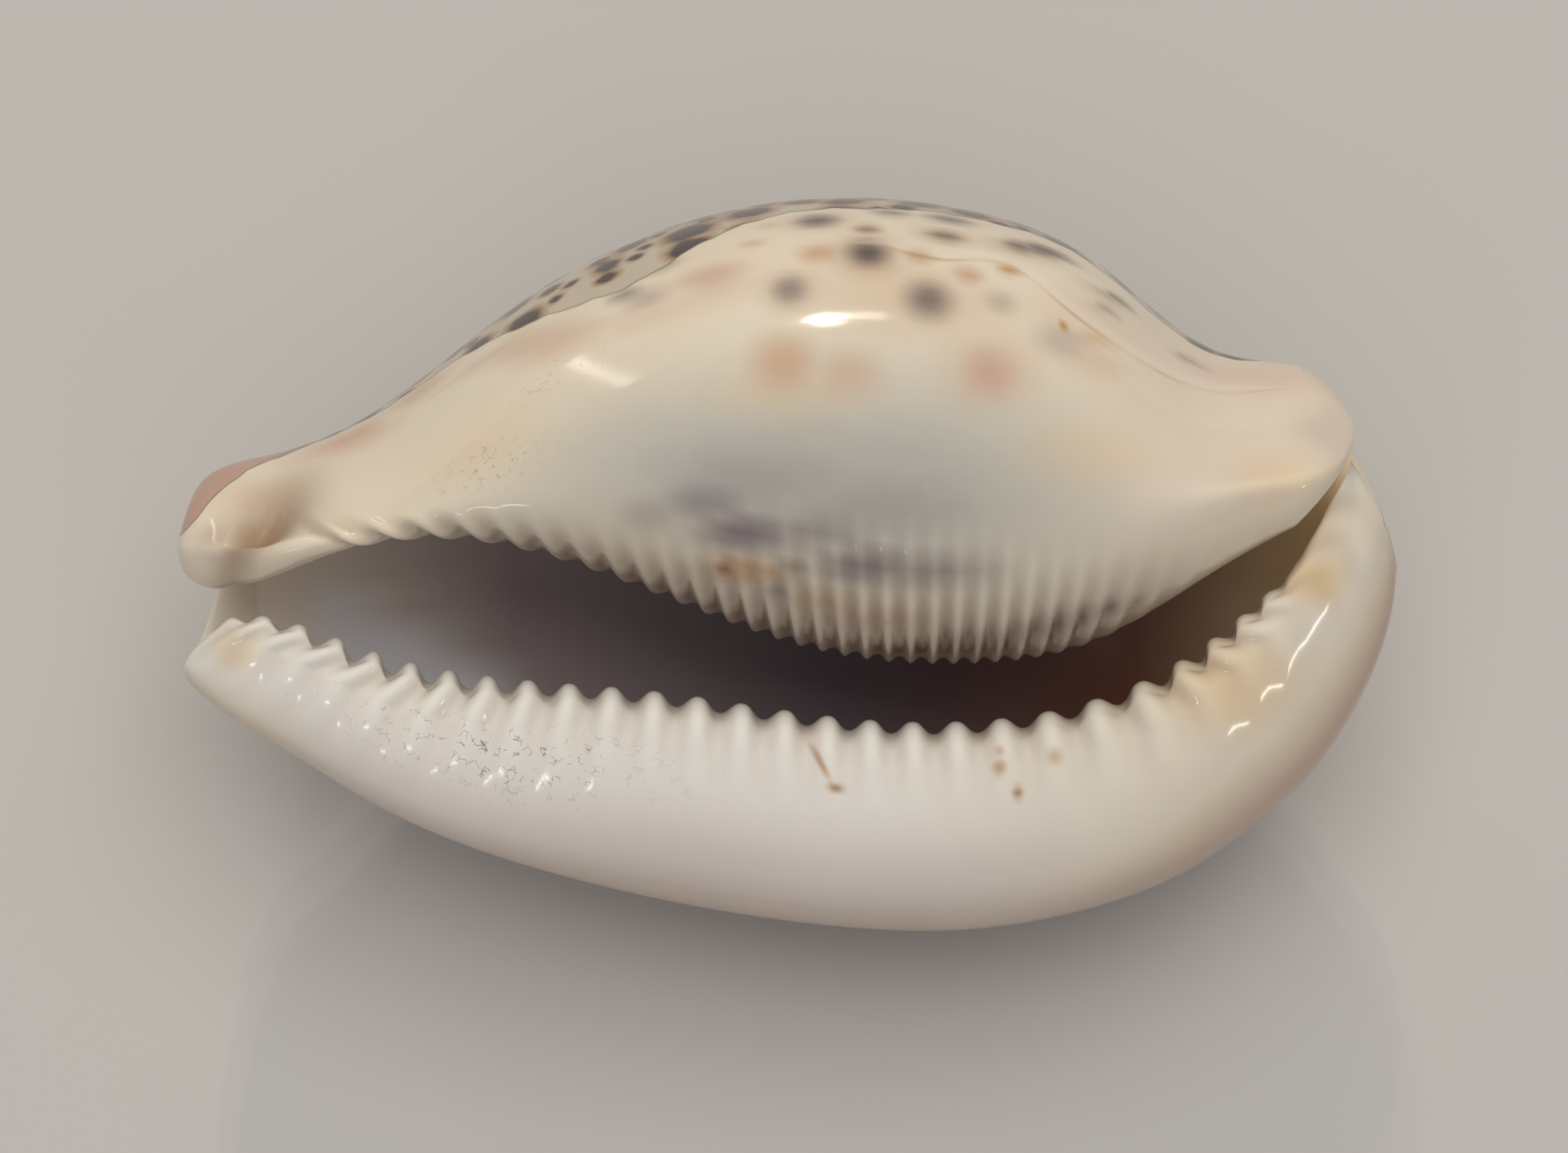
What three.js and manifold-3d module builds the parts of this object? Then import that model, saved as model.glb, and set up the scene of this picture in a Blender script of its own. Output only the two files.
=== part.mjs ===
// Panther cowrie: one grown shell, a thick rolled sheet of glossy calcium carbonate.
// It lies on its back, rolled toward its outer lip, with the toothed mouth facing up.
// Millimetres. World frame: +X toward the posterior end, +Z up, -Y toward the outer lip,
// origin on the ground under the middle of the bounding box.
import * as THREE from 'three';
import Module from 'manifold-3d';

// Driving dimensions
const POSE_ROLL = 40;          // degrees that the base is turned from level, toward the outer lip
const FLAT_DEPTH = 0.35;       // depth of the small flat that the back rests on
const CAP_START = [-30.5, 28.5]; // where each end begins to round off to its rim
const CAP_END = [-35, 35];     // nominal ends of the shell
const CAP_POWER = 2.3;         // squareness of that rounding, 2 is a circle
const CAP_CLOSE = 0.13;        // share of the wall left where the rim is closed
const MIDDLE_ROWS = 133;       // sections between the caps, about five to a tooth of the outer lip
const CAP_ROWS = 10;           // sections in each cap

// The shell in its own frame: x along the shell, y toward the inner (columellar) side,
// z out of the toothed base. Each guide has one value for each station.
const STATIONS = [-35, -30, -24, -16, -7, 2, 11, 18, 24, 30, 35];
const GUIDES = {
  labralY: [-6.4, -8.9, -12.8, -16.8, -19.9, -21.5, -21.9, -20.5, -18, -13.5, -9],
  labralZ: [1, 1, 0.5, 0, 0, 0, 0, 0, 0.5, 1, 1],
  columellarY: [6.6, 6.8, 8.5, 14.2, 18.8, 20.7, 20, 17.1, 12.8, 12.6, 12],
  columellarZ: [1.5, 1.5, 1, 0.5, 0, 0, 0, 0, 0.5, 1.5, 2],
  dorsumY: [0.5, 0.5, 0.5, 0.5, 0.5, 0.5, 0.5, 0.5, 0.8, 1.5, 2],
  dorsumZ: [-3.6, -5.2, -8.8, -14.8, -19.4, -20.8, -19.8, -16.8, -11.6, -7.6, -5.6],
  lipY: [-1.2, 0.2, -1.6, -3, -3.6, -5, -5.35, -4.2, -1.2, 4.2, 8],
  lipZ: [6, 7, 8.4, 9.6, 10.2, 10.4, 10.4, 9.8, 8.6, 6.5, 5],
  crestY: [-3.5, -4.8, -7.5, -10, -11, -12.5, -12.5, -11.5, -8.5, -4, 0],
  crestZ: [7, 8.3, 10.2, 11.6, 12.2, 12.5, 12.5, 12, 10.8, 8, 6.5],
  baseY: [4.4, 5.2, 7, 9.4, 8.6, 6.5, 5.8, 7.2, 9.6, 10.2, 10.5],
  baseZ: [7.4, 8.2, 9.4, 11, 12, 12.4, 12.4, 11.8, 10.8, 9.4, 8.6],
  edgeY: [0.8, 1.9, 5.1, 5.2, 1.8, -1.8, -2.6, -1.3, 2.7, 6.5, 9],
  edgeZ: [4, 4.5, 4, 3, 3.5, 4.2, 4.4, 4.2, 4, 3.6, 3.6],
  curl: [0.6, 1, 2.4, 6.5, 9, 10, 9.5, 7.5, 4, 1.2, 0.6],
  wallDorsum: [2.4, 2.4, 2.3, 2, 1.8, 1.8, 1.8, 2.2, 3.4, 5.4, 6],
  wallLabral: [2.8, 2.8, 2.8, 2.8, 2.8, 2.8, 2.8, 3.4, 5, 7.6, 8],
  wallColumellar: [3.2, 2.4, 1.8, 2.6, 2.8, 2.8, 2.8, 3.2, 4.2, 4.6, 3],
  wallLip: [3, 3.4, 4.4, 5.2, 5.7, 5.8, 5.8, 5.6, 5, 3.8, 3],
  wallBase: [2.5, 3, 3.4, 3.8, 4, 4.2, 4.2, 4.4, 5, 5.5, 5],
  outerToothCount: [-3.9, -1.3, 1.65, 5.33, 9.13, 12.8, 16.5, 19.13, 21.8, 26, 29.5],
  outerToothHeight: [0, 0.5, 1.15, 1.1, 1, 0.95, 0.95, 1, 0.9, 0, 0],
  outerToothLean: [-0.6, -0.55, -0.45, -0.2, -0.05, 0, 0.05, 0.15, 0.35, 0.5, 0.5],
  outerToothEnd: [2.4, 2.4, 2.3, 2.1, 1.9, 1.8, 1.8, 2, 2.2, 2.2, 2.2],
  innerToothCount: [-5, -2.8, 0, 3.9, 8.9, 15.3, 22, 27, 30, 32, 33.5],
  innerToothHeight: [0.6, 0.6, 0.6, 0.44, 0.39, 0.4, 0.42, 0.42, 0.25, 0, 0],
  innerToothLean: [0.5, 0.5, 0.6, 0.65, 0.45, 0.2, -0.1, -0.45, -0.7, -0.8, -0.8],
  innerToothStart: [13.2, 13.4, 14.7, 15.7, 15.8, 15.4, 15.4, 15.8, 16.2, 16.4, 16.6],
  innerToothEnd: [16, 16.3, 16.8, 17.8, 18.4, 18.6, 18.5, 17.5, 16.7, 16.6, 16.4],
};

// The rim line that each cap closes on: key number of the outer run, then x, y, z
const FRONT_RIM = [
  [0, -33.4, -2.3, 5.6], [2, -34.2, -3.6, 5.4], [5, -33.9, -4.6, 2.5], [7, -33, -3, -0.6], [9, -32.2, 0.8, -1.8],
  [11, -33, 4.2, -0.6], [13, -33.8, 4.6, 2], [16, -34.2, 3.8, 4.8], [18, -33.9, 3, 5], [20, -33, 2.4, 4.4],
];
const BACK_RIM = [
  [0, 32, 8.2, 2.6], [2, 34.1, 4.4, 2.6], [5, 35.1, 0.2, 1.2], [7, 34.8, 1.3, -1.2], [9, 33.4, 4.6, -2.4],
  [11, 31.6, 8.5, -1.1], [13, 31.9, 10.5, 2], [16, 31.7, 10.9, 4.2], [18, 31.2, 11, 4.4], [20, 30.7, 10.9, 4],
];

// Key numbers: 0 to 20 run round the outside, from the outer lip over the back to the inner curl,
// and 21 to 34 come back along the inside. A column of the mesh lies at each number listed here.
const LAST_OUTER_KEY = 20;
const KEY_TOTAL = 35;
const COLUMNS = [
  0, 0.5, 1, 1.6, 2.3, 3, 3.7, 4.4, 5.2, 6, 6.8, 7.6, 8.4, 9.2, 10, 10.8, 11.6, 12.4, 13.2, 14, 14.7, 15.3, 15.9, 16.4,
  16.9, 17.4, 17.9, 18.6, 19.3, 20, 21, 22, 23, 24, 25.2, 26.4, 27.6, 28.8, 30, 31, 32, 33, 34, 34.6,
];
// Columns on the lips have a point in every row, and plain columns only in one row of four
const onLips = (key) => key < 2.5 || (key > 13.5 && key < 19.5) || key > 33.5;
const MIDDLE_STRIDE = 4;
const CAP_STRIDE = 2;
// For each inner key, the outer key number that it lies under, which pairs the walls at a rim
const UNDER = [LAST_OUTER_KEY, 18.4, 16, 14.5, 13, 11.6, 10.4, 9, 7.6, 6.4, 5, 3.6, 2.1, 0.5];

// Smooth curve through values at knots (a cubic with continuous curvature), with natural ends,
// or closed where a period is given. Each value is an array of numbers.
function smoothCurve(knots, values, period = 0) {
  const count = knots.length;
  const matrix = knots.map(() => new Array(count).fill(0));
  const right = values.map((value) => value.map(() => 0));
  const span = (from, to) => (period ? (to - from + period) % period : to - from);
  for (let i = 0; i < count; i++) {
    if (!period && (i === 0 || i === count - 1)) {
      matrix[i][i] = 1;
      continue;
    }
    const before = (i + count - 1) % count;
    const after = (i + 1) % count;
    const h0 = span(knots[before], knots[i]);
    const h1 = span(knots[i], knots[after]);
    matrix[i][before] += h0;
    matrix[i][i] += 2 * (h0 + h1);
    matrix[i][after] += h1;
    right[i] = values[i].map((value, axis) => 6 * ((values[after][axis] - value) / h1 - (value - values[before][axis]) / h0));
  }
  const bend = solve(matrix, right);
  return (at) => {
    let i = count - 1;
    while (i > 0 && knots[i] > at) i--;
    if (!period) i = Math.min(i, count - 2);
    const next = (i + 1) % count;
    const h = span(knots[i], knots[next]);
    const b = (at - knots[i]) / h;
    const a = 1 - b;
    return values[i].map((value, axis) => a * value + b * values[next][axis]
      + (((a ** 3 - a) * bend[i][axis] + (b ** 3 - b) * bend[next][axis]) * h * h) / 6);
  };
}

// Gaussian elimination on a matrix that is strongest on its diagonal
function solve(matrix, right) {
  const count = matrix.length;
  for (let i = 0; i < count; i++) {
    for (let row = i + 1; row < count; row++) {
      const share = matrix[row][i] / matrix[i][i];
      if (share === 0) continue;
      for (let column = i; column < count; column++) matrix[row][column] -= share * matrix[i][column];
      right[row] = right[row].map((value, axis) => value - share * right[i][axis]);
    }
  }
  for (let i = count - 1; i >= 0; i--) {
    for (let column = i + 1; column < count; column++) {
      right[i] = right[i].map((value, axis) => value - matrix[i][column] * right[column][axis]);
    }
    right[i] = right[i].map((value) => value / matrix[i][i]);
  }
  return right;
}

const guideNames = Object.keys(GUIDES);
const guideCurve = smoothCurve(STATIONS, STATIONS.map((_, i) => guideNames.map((name) => GUIDES[name][i])));

function guidesAt(x) {
  const values = guideCurve(x);
  return Object.fromEntries(guideNames.map((name, i) => [name, values[i]]));
}

// Point on a quarter of a superellipse: centre, half widths with their signs, angle from the y axis
function quarter(center, halfY, halfZ, degrees, power) {
  const angle = THREE.MathUtils.degToRad(degrees);
  const y = center[0] + halfY * Math.cos(angle) ** (2 / power);
  const z = center[1] + halfZ * Math.sin(angle) ** (2 / power);
  return [y, z];
}

// The smaller of two lengths, with a soft change from one to the other
const softLeast = (p, q) => (p * q) / (p ** 4 + q ** 4) ** 0.25;

// The section at x: 21 keys round the outside, then 14 back along the inside
function sectionKeys(x) {
  const g = guidesAt(x);
  const lip = [g.lipY, g.lipZ];
  const labral = [g.labralY, g.labralZ];
  const columellar = [g.columellarY, g.columellarZ];
  const dorsum = [g.dorsumY, g.dorsumZ];
  const base = [g.baseY, g.baseZ];
  const edge = [g.edgeY, g.edgeZ];
  const gap = Math.max(g.columellarY - g.wallColumellar - g.edgeY, 0.3);
  const open = gap / (gap + 3);
  const backs = [22, 45, 68];
  const keys = [lip];
  keys.push(quarter([g.crestY, g.lipZ], g.lipY - g.crestY, g.crestZ - g.lipZ, 38, 2));
  keys.push([g.crestY, g.crestZ]);
  for (const angle of [60, 30]) {
    keys.push(quarter([g.crestY, g.labralZ], g.labralY - g.crestY, g.crestZ - g.labralZ, angle, 2.05));
  }
  keys.push(labral);
  for (const angle of backs) {
    keys.push(quarter([g.dorsumY, g.labralZ], g.labralY - g.dorsumY, g.dorsumZ - g.labralZ, angle, 2.1));
  }
  keys.push(dorsum);
  for (const angle of backs.toReversed()) {
    keys.push(quarter([g.dorsumY, g.columellarZ], g.columellarY - g.dorsumY, g.dorsumZ - g.columellarZ, angle, 2.1));
  }
  keys.push(columellar);
  for (const angle of [30, 60]) {
    keys.push(quarter([g.baseY, g.columellarZ], g.columellarY - g.baseY, g.baseZ - g.columellarZ, angle, 2.1));
  }
  keys.push(base);
  keys.push(quarter([g.baseY, g.edgeZ], g.edgeY - g.baseY, g.baseZ - g.edgeZ, 45, 2));
  keys.push(edge);
  keys.push([g.edgeY + softLeast(0.1 * g.curl, 0.07 * gap), g.edgeZ - 0.45 * g.curl]);
  keys.push([g.edgeY + softLeast(0.35 * g.curl, 0.2 * gap), g.edgeZ - g.curl]);

  const fold = 1.1 + 0.09 * g.curl;
  keys.push([g.edgeY + softLeast(0.35 * g.curl + 1.4 * fold, 0.5 * gap), g.edgeZ - 0.95 * g.curl - 0.2]);
  keys.push([g.edgeY + softLeast(0.1 * g.curl + 2 * fold, 0.7 * gap), g.edgeZ - 0.45 * g.curl - 0.3]);
  const underY = g.edgeY + softLeast(g.baseY + 0.5 + 0.15 * g.curl - g.edgeY, 0.9 * gap);
  const underZ = (g.edgeZ - 0.8) * (1 - open) + (g.baseZ - g.wallBase) * open;
  const innerY = g.edgeY + gap;
  const floorZ = g.dorsumZ + g.wallDorsum;
  keys.push([underY, underZ]);
  keys.push(quarter([underY, g.columellarZ], innerY - underY, underZ - g.columellarZ, 45, 2));
  keys.push([innerY, g.columellarZ]);
  for (const angle of [30, 60]) {
    keys.push(quarter([g.dorsumY, g.columellarZ], innerY - g.dorsumY, floorZ - g.columellarZ, angle, 2.1));
  }
  keys.push([g.dorsumY, floorZ]);
  const wallY = g.labralY + g.wallLabral;
  for (const angle of [60, 30]) {
    keys.push(quarter([g.dorsumY, g.labralZ], wallY - g.dorsumY, floorZ - g.labralZ, angle, 2.1));
  }
  keys.push([wallY, g.labralZ]);
  const ceiling = [g.crestY + 0.5, g.crestZ - g.wallLip];
  const bayY = g.labralY + 1.3 * g.wallLabral;
  keys.push(quarter([ceiling[0], g.labralZ], bayY - ceiling[0], ceiling[1] - g.labralZ, 45, 2));
  keys.push(ceiling);
  keys.push([g.lipY - 0.9, g.lipZ - 0.42 * g.wallLip]);
  return keys;
}

// Spacing of the keys round the section, from the chords of a section near mid-length
const MIDDLE_STATION = 2;
const middle = sectionKeys(MIDDLE_STATION);
const spacing = middle.map((key, i) => {
  const next = middle[(i + 1) % KEY_TOTAL];
  return Math.hypot(next[0] - key[0], next[1] - key[1]) ** 0.75;
});
const keyPlaces = spacing.map((_, i) => spacing.slice(0, i).reduce((sum, length) => sum + length, 0));
const loopLength = spacing.reduce((sum, length) => sum + length, 0);

function between(list, at, end) {
  const i = Math.floor(at);
  const next = i + 1 < list.length ? list[i + 1] : end;
  return list[i] + (next - list[i]) * (at - i);
}

const columnPlaces = COLUMNS.map((key) => between(keyPlaces, key, loopLength));
const outerNumbers = Array.from({ length: LAST_OUTER_KEY + 1 }, (_, i) => i);
const rimNumberOfKey = [...outerNumbers, ...UNDER];
const rimNumberOfColumn = COLUMNS.map((key) => between(rimNumberOfKey, key, 0));

const frontRim = smoothCurve(FRONT_RIM.map((row) => row[0]), FRONT_RIM.map((row) => row.slice(1)));
const backRim = smoothCurve(BACK_RIM.map((row) => row[0]), BACK_RIM.map((row) => row.slice(1)));

// One row of smooth points. In a cap the keys draw in to the rim line as the row nears the end.
function smoothRow(row) {
  const keys = sectionKeys(row.x);
  const rim = row.side < 0 ? frontRim : backRim;
  const start = row.side < 0 ? CAP_START[0] : CAP_START[1];
  const points = keys.map((key, i) => {
    if (row.side === 0) return [row.x, key[0], key[1]];
    const [rimX, rimY, rimZ] = rim(rimNumberOfKey[i]);
    const x = start + (rimX - start) * row.along;
    return [x, rimY + (key[0] - rimY) * row.open, rimZ + (key[1] - rimZ) * row.open];
  });
  const loop = smoothCurve(keyPlaces, points, loopLength);
  return columnPlaces.map((place) => loop(place));
}

function listRows() {
  const rows = [];
  const lastAngle = Math.acos(CAP_CLOSE ** (CAP_POWER / 2));
  const capRow = (side, step) => {
    const angle = (lastAngle * step) / CAP_ROWS;
    const along = Math.sin(angle) ** (2 / CAP_POWER);
    const [start, end] = side < 0 ? [CAP_START[0], CAP_END[0]] : [CAP_START[1], CAP_END[1]];
    return { side, along, open: Math.cos(angle) ** (2 / CAP_POWER), x: start + (end - start) * along };
  };
  for (let step = CAP_ROWS; step > 0; step--) rows.push(capRow(-1, step));
  for (let i = 0; i < MIDDLE_ROWS; i++) {
    const x = THREE.MathUtils.lerp(CAP_START[0], CAP_START[1], i / (MIDDLE_ROWS - 1));
    rows.push({ side: 0, along: 0, open: 1, x });
  }
  for (let step = 1; step <= CAP_ROWS; step++) rows.push(capRow(1, step));
  return rows;
}

const ease = (from, to, at) => THREE.MathUtils.smoothstep(at, from, to);
const hump = (offset) => Math.exp(-offset * offset);

// The teeth: how far a leaning tooth moves along the shell from one key number to the next, how
// much rounder than a plain wave the outer knobs are and how much narrower the inner ribs, and how
// far the valleys lie below the smooth surface, as shares of the height
const OUTER_MM_PER_KEY = 4;
const INNER_MM_PER_KEY = 2.4;
const LEAN_KEY = 16;
const KNOB_ROUNDNESS = 1.35;
const RIB_SHARPNESS = 1.5;
const OUTER_VALLEY = 0.5;
const INNER_VALLEY = 0.4;
// The hollow behind the tip of the inner side and the low swelling under it: middle along the
// shell, half length, half width in key numbers, and height
const SCOOP = { x: -29.3, length: 2.3, key: 14.8, height: -1.05 };
const SWELLING = { x: -27.8, length: 2.4, key: 16, width: 0.6, height: 0.35 };

const wave = (count) => 0.5 + 0.5 * Math.cos(2 * Math.PI * count);
const countAt = (name, x) => guidesAt(THREE.MathUtils.clamp(x, STATIONS[0], STATIONS.at(-1)))[name];

function bump(form, x, key, keyMiddle) {
  return form.height * hump((x - form.x) / form.length) * hump((key - keyMiddle) / form.width);
}

// Height of the relief at x and a key number
function relief(x, key) {
  const g = guidesAt(x);
  let height = 0;
  const outerKey = key > 30 ? key - KEY_TOTAL : key;
  const outerReach = ease(-1.6, -0.3, outerKey) * (1 - ease(-0.2, 1, outerKey / g.outerToothEnd));
  if (outerReach > 0) {
    const count = countAt('outerToothCount', x - g.outerToothLean * OUTER_MM_PER_KEY * Math.max(outerKey, 0));
    const tooth = 1 - (1 - wave(count)) ** KNOB_ROUNDNESS;
    height += g.outerToothHeight * outerReach * (tooth - OUTER_VALLEY);
  }
  const innerReach = ease(0, 1.3, key - g.innerToothStart) * (1 - ease(-1.8, 0.6, key - g.innerToothEnd));
  if (innerReach > 0) {
    const count = countAt('innerToothCount', x - g.innerToothLean * INNER_MM_PER_KEY * (key - LEAN_KEY));
    const rib = wave(count) ** RIB_SHARPNESS;
    height += g.innerToothHeight * innerReach * ease(-0.85, -0.35, count) * (rib - INNER_VALLEY);
  }
  const scoopX = x - SCOOP.x;
  const scoopKey = SCOOP.key - 0.55 * scoopX + 0.11 * scoopX ** 2;
  const scoopWidth = 0.95 + 0.3 * Math.max(-scoopX, 0);
  height += ease(-3.3, -0.4, scoopX) * bump({ ...SCOOP, width: scoopWidth }, x, key, scoopKey);
  height += bump(SWELLING, x, key, SWELLING.key - 0.12 * (x - SWELLING.x));
  return height;
}

// Rows of points, with the relief along the outward normal
const rows = listRows();
const smooth = rows.map(smoothRow);
const columnCount = COLUMNS.length;
const vertices = [];
for (let r = 0; r < rows.length; r++) {
  for (let c = 0; c < columnCount; c++) {
    const before = smooth[Math.max(r - 1, 0)][c];
    const after = smooth[Math.min(r + 1, rows.length - 1)][c];
    const left = smooth[r][(c + columnCount - 1) % columnCount];
    const right = smooth[r][(c + 1) % columnCount];
    const along = new THREE.Vector3(...after).sub(new THREE.Vector3(...before));
    const round = new THREE.Vector3(...right).sub(new THREE.Vector3(...left));
    const normal = round.cross(along).normalize();
    const height = relief(smooth[r][c][0], COLUMNS[c]) * rows[r].open;
    vertices.push(...new THREE.Vector3(...smooth[r][c]).addScaledVector(normal, height).toArray());
  }
}

// Faces of the tube, then a narrow strip across the wall at each rim
const faces = [];
const fine = COLUMNS.map(onLips);
const lastRow = rows.length - 1;
const isPlainRow = (r) => {
  const fromEnd = Math.min(r, lastRow - r);
  return fromEnd <= CAP_ROWS ? fromEnd % CAP_STRIDE === 0 : (r - CAP_ROWS) % MIDDLE_STRIDE === 0;
};
const plainRows = rows.map((_, r) => r).filter(isPlainRow);
const vertexAt = (r, c) => r * columnCount + c;

function quad(low, high, c, next) {
  faces.push(vertexAt(low, c), vertexAt(high, next), vertexAt(high, c));
  faces.push(vertexAt(low, c), vertexAt(low, next), vertexAt(high, next));
}

// Between a lip column and a plain one: a fan from each of the plain column's two points
function fans(low, high, lipColumn, plainColumn, flip) {
  const triangle = (a, b, c) => faces.push(...(flip ? [a, c, b] : [a, b, c]));
  const half = Math.floor((low + high) / 2);
  for (let r = low; r < high; r++) {
    const apex = vertexAt(r < half ? low : high, plainColumn);
    triangle(vertexAt(r, lipColumn), apex, vertexAt(r + 1, lipColumn));
  }
  triangle(vertexAt(half, lipColumn), vertexAt(low, plainColumn), vertexAt(high, plainColumn));
}

for (let i = 0; i + 1 < plainRows.length; i++) {
  const [low, high] = [plainRows[i], plainRows[i + 1]];
  for (let c = 0; c < columnCount; c++) {
    const next = (c + 1) % columnCount;
    if (fine[c] && fine[next]) for (let r = low; r < high; r++) quad(r, r + 1, c, next);
    else if (fine[c]) fans(low, high, c, next, false);
    else if (fine[next]) fans(low, high, next, c, true);
    else quad(low, high, c, next);
  }
}

function rimStrip(firstVertex, flip) {
  const outer = [];
  const inner = [];
  COLUMNS.forEach((key, c) => (key <= LAST_OUTER_KEY ? outer.push(c) : inner.unshift(c)));
  let i = 0;
  let j = 0;
  while (i < outer.length - 1 || j < inner.length - 1) {
    const outerNext = i < outer.length - 1 ? rimNumberOfColumn[outer[i + 1]] : Infinity;
    const innerNext = j < inner.length - 1 ? rimNumberOfColumn[inner[j + 1]] : Infinity;
    const corners = outerNext <= innerNext
      ? [outer[i], outer[i + 1], inner[j]]
      : [outer[i], inner[j + 1], inner[j]];
    if (outerNext <= innerNext) i++;
    else j++;
    if (flip) corners.reverse();
    faces.push(...corners.map((corner) => corner + firstVertex));
  }
}
rimStrip(0, true);
rimStrip(lastRow * columnCount, false);

// Turn the shell onto its back and set it over the ground
const geometry = new THREE.BufferGeometry();
geometry.setAttribute('position', new THREE.Float32BufferAttribute(vertices, 3));
geometry.setIndex(faces);
geometry.rotateX(THREE.MathUtils.degToRad(POSE_ROLL));
geometry.computeBoundingBox();
const box = geometry.boundingBox;
const center = box.getCenter(new THREE.Vector3());
geometry.translate(-center.x, -center.y, -box.min.z - FLAT_DEPTH);

// Cut the small flat that it rests on
const wasm = await Module();
wasm.setup();
const GROUND_SIZE = 60;
const ground = new THREE.BoxGeometry(GROUND_SIZE, GROUND_SIZE, GROUND_SIZE);
ground.translate(0, 0, -GROUND_SIZE / 2);

function toSolid(source) {
  const unique = new Map();
  const points = [];
  const position = source.getAttribute('position');
  const corner = Array.from({ length: position.count }, (_, i) => {
    const key = [position.getX(i), position.getY(i), position.getZ(i)].join();
    if (!unique.has(key)) {
      unique.set(key, points.length / 3);
      points.push(position.getX(i), position.getY(i), position.getZ(i));
    }
    return unique.get(key);
  });
  const triVerts = new Uint32Array(Array.from(source.index.array, (i) => corner[i]));
  return new wasm.Manifold(new wasm.Mesh({ numProp: 3, vertProperties: new Float32Array(points), triVerts }));
}

const cut = toSolid(geometry).subtract(toSolid(ground)).getMesh();
const shellGeometry = new THREE.BufferGeometry();
shellGeometry.setAttribute('position', new THREE.Float32BufferAttribute(cut.vertProperties, 3));
shellGeometry.setIndex(Array.from(cut.triVerts));
shellGeometry.computeVertexNormals();

const porcelain = new THREE.MeshStandardMaterial({ color: 0xe9dfcd, roughness: 0.12, metalness: 0 });
const shell = new THREE.Mesh(shellGeometry, porcelain);
shell.name = 'shell';
const cowrie = new THREE.Group();
cowrie.add(shell);

export default cowrie;
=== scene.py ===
"""A panther cowrie shell lying on its back, with its toothed mouth toward the camera."""

import bpy
import numpy as np
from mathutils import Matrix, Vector


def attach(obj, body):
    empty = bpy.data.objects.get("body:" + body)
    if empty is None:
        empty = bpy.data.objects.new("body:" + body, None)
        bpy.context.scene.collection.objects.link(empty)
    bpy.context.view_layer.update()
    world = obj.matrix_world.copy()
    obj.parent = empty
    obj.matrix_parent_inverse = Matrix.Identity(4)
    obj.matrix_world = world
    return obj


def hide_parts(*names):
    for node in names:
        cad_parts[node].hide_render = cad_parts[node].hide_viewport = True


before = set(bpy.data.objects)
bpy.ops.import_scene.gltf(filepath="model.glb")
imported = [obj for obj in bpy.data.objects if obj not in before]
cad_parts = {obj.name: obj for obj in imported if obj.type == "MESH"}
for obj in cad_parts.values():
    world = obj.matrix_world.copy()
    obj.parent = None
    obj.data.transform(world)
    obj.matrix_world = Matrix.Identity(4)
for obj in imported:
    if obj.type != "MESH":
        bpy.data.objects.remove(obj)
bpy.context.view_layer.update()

# The form of the shell
# A cowrie is one grown piece of aragonite, a rolled sheet whose outer lip has turned in toward the
# inner one. Its form is set by eleven sections along the shell, in the shell's own frame in
# millimetres: x to the posterior end, y to the inner (columellar) lip, z out of the toothed base.
STATIONS = [-35, -30, -24, -16, -7, 2, 11, 18, 24, 30, 35]
GUIDES = {
    "labral_y": [-6.4, -8.9, -12.8, -16.8, -19.9, -21.5, -21.9, -20.5, -18, -13.5, -9],
    "labral_z": [1, 1, 0.5, 0, 0, 0, 0, 0, 0.5, 1, 1],
    "columellar_y": [6.6, 6.8, 8.5, 14.2, 18.8, 20.7, 20, 17.1, 12.8, 12.6, 12],
    "columellar_z": [1.5, 1.5, 1, 0.5, 0, 0, 0, 0, 0.5, 1.5, 2],
    "dorsum_y": [0.5, 0.5, 0.5, 0.5, 0.5, 0.5, 0.5, 0.5, 0.8, 1.5, 2],
    "dorsum_z": [-3.6, -5.2, -8.8, -14.8, -19.4, -20.8, -19.8, -16.8, -11.6, -7.6, -5.6],
    "lip_y": [-1.2, 0.2, -1.6, -3, -3.6, -5, -5.35, -4.2, -1.2, 4.2, 8],
    "lip_z": [6, 7, 8.4, 9.6, 10.2, 10.4, 10.4, 9.8, 8.6, 6.5, 5],
    "crest_y": [-3.5, -4.8, -7.5, -10, -11, -12.5, -12.5, -11.5, -8.5, -4, 0],
    "crest_z": [7, 8.3, 10.2, 11.6, 12.2, 12.5, 12.5, 12, 10.8, 8, 6.5],
    "base_y": [4.4, 5.2, 7, 9.4, 8.6, 6.5, 5.8, 7.2, 9.6, 10.2, 10.5],
    "base_z": [7.4, 8.2, 9.4, 11, 12, 12.4, 12.4, 11.8, 10.8, 9.4, 8.6],
    "edge_y": [0.8, 1.9, 5.1, 5.2, 1.8, -1.8, -2.6, -1.3, 2.7, 6.5, 9],
    "edge_z": [4, 4.5, 4, 3, 3.5, 4.2, 4.4, 4.2, 4, 3.6, 3.6],
    "curl": [0.6, 1, 2.4, 6.5, 9, 10, 9.5, 7.5, 4, 1.2, 0.6],
    "wall_dorsum": [2.4, 2.4, 2.3, 2, 1.8, 1.8, 1.8, 2.2, 3.4, 5.4, 6],
    "wall_labral": [2.8, 2.8, 2.8, 2.8, 2.8, 2.8, 2.8, 3.4, 5, 7.6, 8],
    "wall_columellar": [3.2, 2.4, 1.8, 2.6, 2.8, 2.8, 2.8, 3.2, 4.2, 4.6, 3],
    "wall_lip": [3, 3.4, 4.4, 5.2, 5.7, 5.8, 5.8, 5.6, 5, 3.8, 3],
    "wall_base": [2.5, 3, 3.4, 3.8, 4, 4.2, 4.2, 4.4, 5, 5.5, 5],
}

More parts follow.
